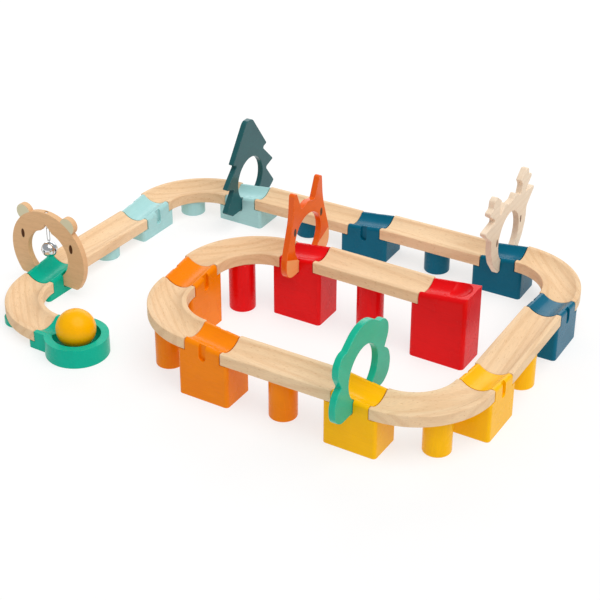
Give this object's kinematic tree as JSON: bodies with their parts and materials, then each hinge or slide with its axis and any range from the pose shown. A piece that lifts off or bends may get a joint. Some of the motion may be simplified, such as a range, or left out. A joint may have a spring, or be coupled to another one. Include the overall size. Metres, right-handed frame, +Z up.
{
  "type": "toy marble run",
  "caption": "Wooden toy marble run: painted blocks step down a looping track of grooved straight and curved pieces, under animal and tree arches, to a round bowl with a ball.",
  "frame": {"origin": "on the floor plane, under the middle of the bounding box of the whole run", "axes": "+Z up; +X along the first straight from the loop of the run towards the tall start block's closed end; +Y away from the front side that has the leafy tree arch"},
  "size_m": [0.6356, 0.4908, 0.1643],
  "materials": {
    "paint_red": "satin paint over wood",
    "beech": "plain oiled beech",
    "arch_fox": "satin paint over wood",
    "paint_orange": "satin paint over wood",
    "paint_yellow": "satin paint over wood",
    "arch_tree": "satin paint over wood",
    "paint_blue": "satin paint over wood",
    "arch_reindeer": "pale wood wash",
    "paint_light_blue": "satin paint over wood",
    "arch_fir": "satin paint over wood",
    "paint_green": "satin paint over wood",
    "arch_bear": "plain light brown wood with painted eyes and cream ears",
    "bell_steel": "polished",
    "ball_yellow": "satin paint over wood"
  },
  "bodies": {
    "base": {"start_block": "paint_red", "block_red": "paint_red", "block_orange_1": "paint_orange", "block_orange_2": "paint_orange", "block_yellow_1": "paint_yellow", "block_yellow_2": "paint_yellow", "block_blue_1": "paint_blue", "block_blue_2": "paint_blue", "block_blue_3": "paint_blue", "block_light_blue_1": "paint_light_blue", "block_light_blue_2": "paint_light_blue", "block_green": "paint_green", "bowl_block": "paint_green", "post_red_1": "paint_red", "post_red_2": "paint_red", "post_orange_1": "paint_orange", "post_orange_2": "paint_orange", "post_yellow_1": "paint_yellow", "post_yellow_2": "paint_yellow", "post_blue_1": "paint_blue", "post_blue_2": "paint_blue", "post_blue_3": "paint_blue", "post_light_blue_1": "paint_light_blue", "post_light_blue_2": "paint_light_blue", "post_green": "paint_green"},
    "track_straight_1": {"track_straight_1": "beech"},
    "track_curve_1": {"track_curve_1": "beech"},
    "track_curve_2": {"track_curve_2": "beech"},
    "track_straight_2": {"track_straight_2": "beech"},
    "track_curve_3": {"track_curve_3": "beech"},
    "track_straight_3": {"track_straight_3": "beech"},
    "track_curve_4": {"track_curve_4": "beech"},
    "track_straight_4": {"track_straight_4": "beech"},
    "track_straight_5": {"track_straight_5": "beech"},
    "track_curve_5": {"track_curve_5": "beech"},
    "track_straight_6": {"track_straight_6": "beech"},
    "track_curve_6": {"track_curve_6": "beech"},
    "arch_fox": {"arch_fox": "arch_fox"},
    "arch_tree": {"arch_tree": "arch_tree"},
    "arch_reindeer": {"arch_reindeer": "arch_reindeer"},
    "arch_fir": {"arch_fir": "arch_fir"},
    "arch_bear": {"arch_bear": "arch_bear", "bell_eye_pin": "bell_steel"},
    "bell": {"bell_loop": "bell_steel", "bell_shell": "bell_steel", "bell_pea": "bell_steel"},
    "ball": {"ball": "ball_yellow"}
  },
  "joints": [
    {"name": "track_straight_1_lift", "type": "slide", "parent": "base", "child": "track_straight_1", "axis": [0, 0, 1], "range_m": [0, 0.18]},
    {"name": "track_curve_1_lift", "type": "slide", "parent": "base", "child": "track_curve_1", "axis": [0, 0, 1], "range_m": [0, 0.18]},
    {"name": "track_curve_2_lift", "type": "slide", "parent": "base", "child": "track_curve_2", "axis": [0, 0, 1], "range_m": [0, 0.18]},
    {"name": "track_straight_2_lift", "type": "slide", "parent": "base", "child": "track_straight_2", "axis": [0, 0, 1], "range_m": [0, 0.18]},
    {"name": "track_curve_3_lift", "type": "slide", "parent": "base", "child": "track_curve_3", "axis": [0, 0, 1], "range_m": [0, 0.18]},
    {"name": "track_straight_3_lift", "type": "slide", "parent": "base", "child": "track_straight_3", "axis": [0, 0, 1], "range_m": [0, 0.18]},
    {"name": "track_curve_4_lift", "type": "slide", "parent": "base", "child": "track_curve_4", "axis": [0, 0, 1], "range_m": [0, 0.18]},
    {"name": "track_straight_4_lift", "type": "slide", "parent": "base", "child": "track_straight_4", "axis": [0, 0, 1], "range_m": [0, 0.18]},
    {"name": "track_straight_5_lift", "type": "slide", "parent": "base", "child": "track_straight_5", "axis": [0, 0, 1], "range_m": [0, 0.18]},
    {"name": "track_curve_5_lift", "type": "slide", "parent": "base", "child": "track_curve_5", "axis": [0, 0, 1], "range_m": [0, 0.18]},
    {"name": "track_straight_6_lift", "type": "slide", "parent": "base", "child": "track_straight_6", "axis": [0, 0, 1], "range_m": [0, 0.18]},
    {"name": "track_curve_6_lift", "type": "slide", "parent": "base", "child": "track_curve_6", "axis": [0, 0, 1], "range_m": [0, 0.18]},
    {"name": "arch_fox_lift", "type": "slide", "parent": "base", "child": "arch_fox", "axis": [0, 0, 1], "range_m": [0, 0.18]},
    {"name": "arch_tree_lift", "type": "slide", "parent": "base", "child": "arch_tree", "axis": [0, 0, 1], "range_m": [0, 0.18]},
    {"name": "arch_reindeer_lift", "type": "slide", "parent": "base", "child": "arch_reindeer", "axis": [0, 0, 1], "range_m": [0, 0.18]},
    {"name": "arch_fir_lift", "type": "slide", "parent": "base", "child": "arch_fir", "axis": [0, 0, 1], "range_m": [0, 0.18]},
    {"name": "arch_bear_lift", "type": "slide", "parent": "base", "child": "arch_bear", "axis": [0, 0, 1], "range_m": [0, 0.18]},
    {"name": "bell_swing", "type": "hinge", "parent": "arch_bear", "child": "bell", "pos_m": [-0.26284, -0.10471, 0.08002], "axis": [0.9991, -0.0419, 0], "range_deg": [-90, 90]},
    {"name": "ball_lift", "type": "slide", "parent": "base", "child": "ball", "axis": [0, 0, 1], "range_m": [0, 0.18]}
  ]
}
